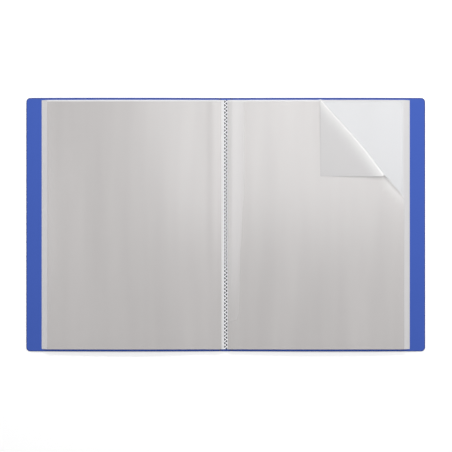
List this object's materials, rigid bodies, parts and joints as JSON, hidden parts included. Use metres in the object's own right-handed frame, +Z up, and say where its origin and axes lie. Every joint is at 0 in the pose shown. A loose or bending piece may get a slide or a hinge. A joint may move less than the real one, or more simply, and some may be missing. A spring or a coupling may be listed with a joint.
{
  "type": "pocket display album",
  "caption": "Open album with a folding sheet cover and clear top-loading pockets that turn like pages about a welded centre seam; one page corner is folded over.",
  "frame": {"origin": "on the table under the middle of the spine, at the bottom centre of the open album's box", "axes": "+X across to the right-hand page, +Y to the head of the pages, +Z up out of the open pages"},
  "size_m": [0.488, 0.31, 0.0067],
  "materials": {
    "cover_sheet": "blue polypropylene sheet, satin inside, fine diagonal emboss outside",
    "pocket_film": "clear polypropylene film with a slight haze",
    "seam": "films fused together, hazy grey with darker weld dents"
  },
  "bodies": {
    "spine": {"spine": "cover_sheet", "centre_seam": "seam"},
    "front_cover": {"front_cover": "cover_sheet"},
    "back_cover": {"back_cover": "cover_sheet"},
    "left_leaf_10": {"left_pocket_10_outer_film": "pocket_film", "left_pocket_10_inner_film": "pocket_film"},
    "left_leaf_09": {"left_pocket_09_outer_film": "pocket_film", "left_pocket_09_inner_film": "pocket_film"},
    "left_leaf_08": {"left_pocket_08_outer_film": "pocket_film", "left_pocket_08_inner_film": "pocket_film"},
    "left_leaf_07": {"left_pocket_07_outer_film": "pocket_film", "left_pocket_07_inner_film": "pocket_film"},
    "left_leaf_06": {"left_pocket_06_outer_film": "pocket_film", "left_pocket_06_inner_film": "pocket_film"},
    "left_leaf_05": {"left_pocket_05_outer_film": "pocket_film", "left_pocket_05_inner_film": "pocket_film"},
    "left_leaf_04": {"left_pocket_04_outer_film": "pocket_film", "left_pocket_04_inner_film": "pocket_film"},
    "left_leaf_03": {"left_pocket_03_outer_film": "pocket_film", "left_pocket_03_inner_film": "pocket_film"},
    "left_leaf_02": {"left_pocket_02_outer_film": "pocket_film", "left_pocket_02_inner_film": "pocket_film"},
    "left_leaf_01": {"left_pocket_01_outer_film": "pocket_film", "left_pocket_01_inner_film": "pocket_film"},
    "right_leaf_10": {"right_pocket_10_outer_film": "pocket_film", "right_pocket_10_inner_film": "pocket_film"},
    "right_leaf_09": {"right_pocket_09_outer_film": "pocket_film", "right_pocket_09_inner_film": "pocket_film"},
    "right_leaf_08": {"right_pocket_08_outer_film": "pocket_film", "right_pocket_08_inner_film": "pocket_film"},
    "right_leaf_07": {"right_pocket_07_outer_film": "pocket_film", "right_pocket_07_inner_film": "pocket_film"},
    "right_leaf_06": {"right_pocket_06_outer_film": "pocket_film", "right_pocket_06_inner_film": "pocket_film"},
    "right_leaf_05": {"right_pocket_05_outer_film": "pocket_film", "right_pocket_05_inner_film": "pocket_film"},
    "right_leaf_04": {"right_pocket_04_outer_film": "pocket_film", "right_pocket_04_inner_film": "pocket_film"},
    "right_leaf_03": {"right_pocket_03_outer_film": "pocket_film", "right_pocket_03_inner_film": "pocket_film"},
    "right_leaf_02": {"right_pocket_02_outer_film": "pocket_film", "right_pocket_02_inner_film": "pocket_film"},
    "right_leaf_01": {"right_pocket_01_outer_film": "pocket_film", "right_pocket_01_inner_film": "pocket_film"}
  },
  "joints": [
    {"name": "front_cover_fold", "type": "hinge", "parent": "spine", "child": "front_cover", "pos_m": [-0.007, 0, 0.00012], "axis": [0, 1, 0], "range_deg": [0, 90]},
    {"name": "back_cover_fold", "type": "hinge", "parent": "spine", "child": "back_cover", "pos_m": [0.007, 0, 0.00012], "axis": [0, -1, 0], "range_deg": [0, 90]},
    {"name": "left_leaf_10_turn", "type": "hinge", "parent": "spine", "child": "left_leaf_10", "pos_m": [0, 0, 0.0061], "axis": [0, 1, 0], "range_deg": [0, 90]},
    {"name": "left_leaf_09_turn", "type": "hinge", "parent": "left_leaf_10", "child": "left_leaf_09", "pos_m": [0, 0, 0.0061], "axis": [0, -1, 0], "range_deg": [-180, 0]},
    {"name": "left_leaf_08_turn", "type": "hinge", "parent": "left_leaf_09", "child": "left_leaf_08", "pos_m": [0, 0, 0.0061], "axis": [0, -1, 0], "range_deg": [-180, 0]},
    {"name": "left_leaf_07_turn", "type": "hinge", "parent": "left_leaf_08", "child": "left_leaf_07", "pos_m": [0, 0, 0.0061], "axis": [0, -1, 0], "range_deg": [-180, 0]},
    {"name": "left_leaf_06_turn", "type": "hinge", "parent": "left_leaf_07", "child": "left_leaf_06", "pos_m": [0, 0, 0.0061], "axis": [0, -1, 0], "range_deg": [-180, 0]},
    {"name": "left_leaf_05_turn", "type": "hinge", "parent": "left_leaf_06", "child": "left_leaf_05", "pos_m": [0, 0, 0.0061], "axis": [0, -1, 0], "range_deg": [-180, 0]},
    {"name": "left_leaf_04_turn", "type": "hinge", "parent": "left_leaf_05", "child": "left_leaf_04", "pos_m": [0, 0, 0.0061], "axis": [0, -1, 0], "range_deg": [-180, 0]},
    {"name": "left_leaf_03_turn", "type": "hinge", "parent": "left_leaf_04", "child": "left_leaf_03", "pos_m": [0, 0, 0.0061], "axis": [0, -1, 0], "range_deg": [-180, 0]},
    {"name": "left_leaf_02_turn", "type": "hinge", "parent": "left_leaf_03", "child": "left_leaf_02", "pos_m": [0, 0, 0.0061], "axis": [0, -1, 0], "range_deg": [-180, 0]},
    {"name": "left_leaf_01_turn", "type": "hinge", "parent": "left_leaf_02", "child": "left_leaf_01", "pos_m": [0, 0, 0.0061], "axis": [0, -1, 0], "range_deg": [-180, 0]},
    {"name": "right_leaf_10_turn", "type": "hinge", "parent": "spine", "child": "right_leaf_10", "pos_m": [0, 0, 0.0061], "axis": [0, -1, 0], "range_deg": [0, 90]},
    {"name": "right_leaf_09_turn", "type": "hinge", "parent": "right_leaf_10", "child": "right_leaf_09", "pos_m": [0, 0, 0.0061], "axis": [0, 1, 0], "range_deg": [-180, 0]},
    {"name": "right_leaf_08_turn", "type": "hinge", "parent": "right_leaf_09", "child": "right_leaf_08", "pos_m": [0, 0, 0.0061], "axis": [0, 1, 0], "range_deg": [-180, 0]},
    {"name": "right_leaf_07_turn", "type": "hinge", "parent": "right_leaf_08", "child": "right_leaf_07", "pos_m": [0, 0, 0.0061], "axis": [0, 1, 0], "range_deg": [-180, 0]},
    {"name": "right_leaf_06_turn", "type": "hinge", "parent": "right_leaf_07", "child": "right_leaf_06", "pos_m": [0, 0, 0.0061], "axis": [0, 1, 0], "range_deg": [-180, 0]},
    {"name": "right_leaf_05_turn", "type": "hinge", "parent": "right_leaf_06", "child": "right_leaf_05", "pos_m": [0, 0, 0.0061], "axis": [0, 1, 0], "range_deg": [-180, 0]},
    {"name": "right_leaf_04_turn", "type": "hinge", "parent": "right_leaf_05", "child": "right_leaf_04", "pos_m": [0, 0, 0.0061], "axis": [0, 1, 0], "range_deg": [-180, 0]},
    {"name": "right_leaf_03_turn", "type": "hinge", "parent": "right_leaf_04", "child": "right_leaf_03", "pos_m": [0, 0, 0.0061], "axis": [0, 1, 0], "range_deg": [-180, 0]},
    {"name": "right_leaf_02_turn", "type": "hinge", "parent": "right_leaf_03", "child": "right_leaf_02", "pos_m": [0, 0, 0.0061], "axis": [0, 1, 0], "range_deg": [-180, 0]},
    {"name": "right_leaf_01_turn", "type": "hinge", "parent": "right_leaf_02", "child": "right_leaf_01", "pos_m": [0, 0, 0.0061], "axis": [0, 1, 0], "range_deg": [-180, 0]}
  ],
  "couplings": [
    {"joint": "left_leaf_10_turn", "follows": "front_cover_fold", "ratio": 1},
    {"joint": "right_leaf_10_turn", "follows": "back_cover_fold", "ratio": 1}
  ]
}
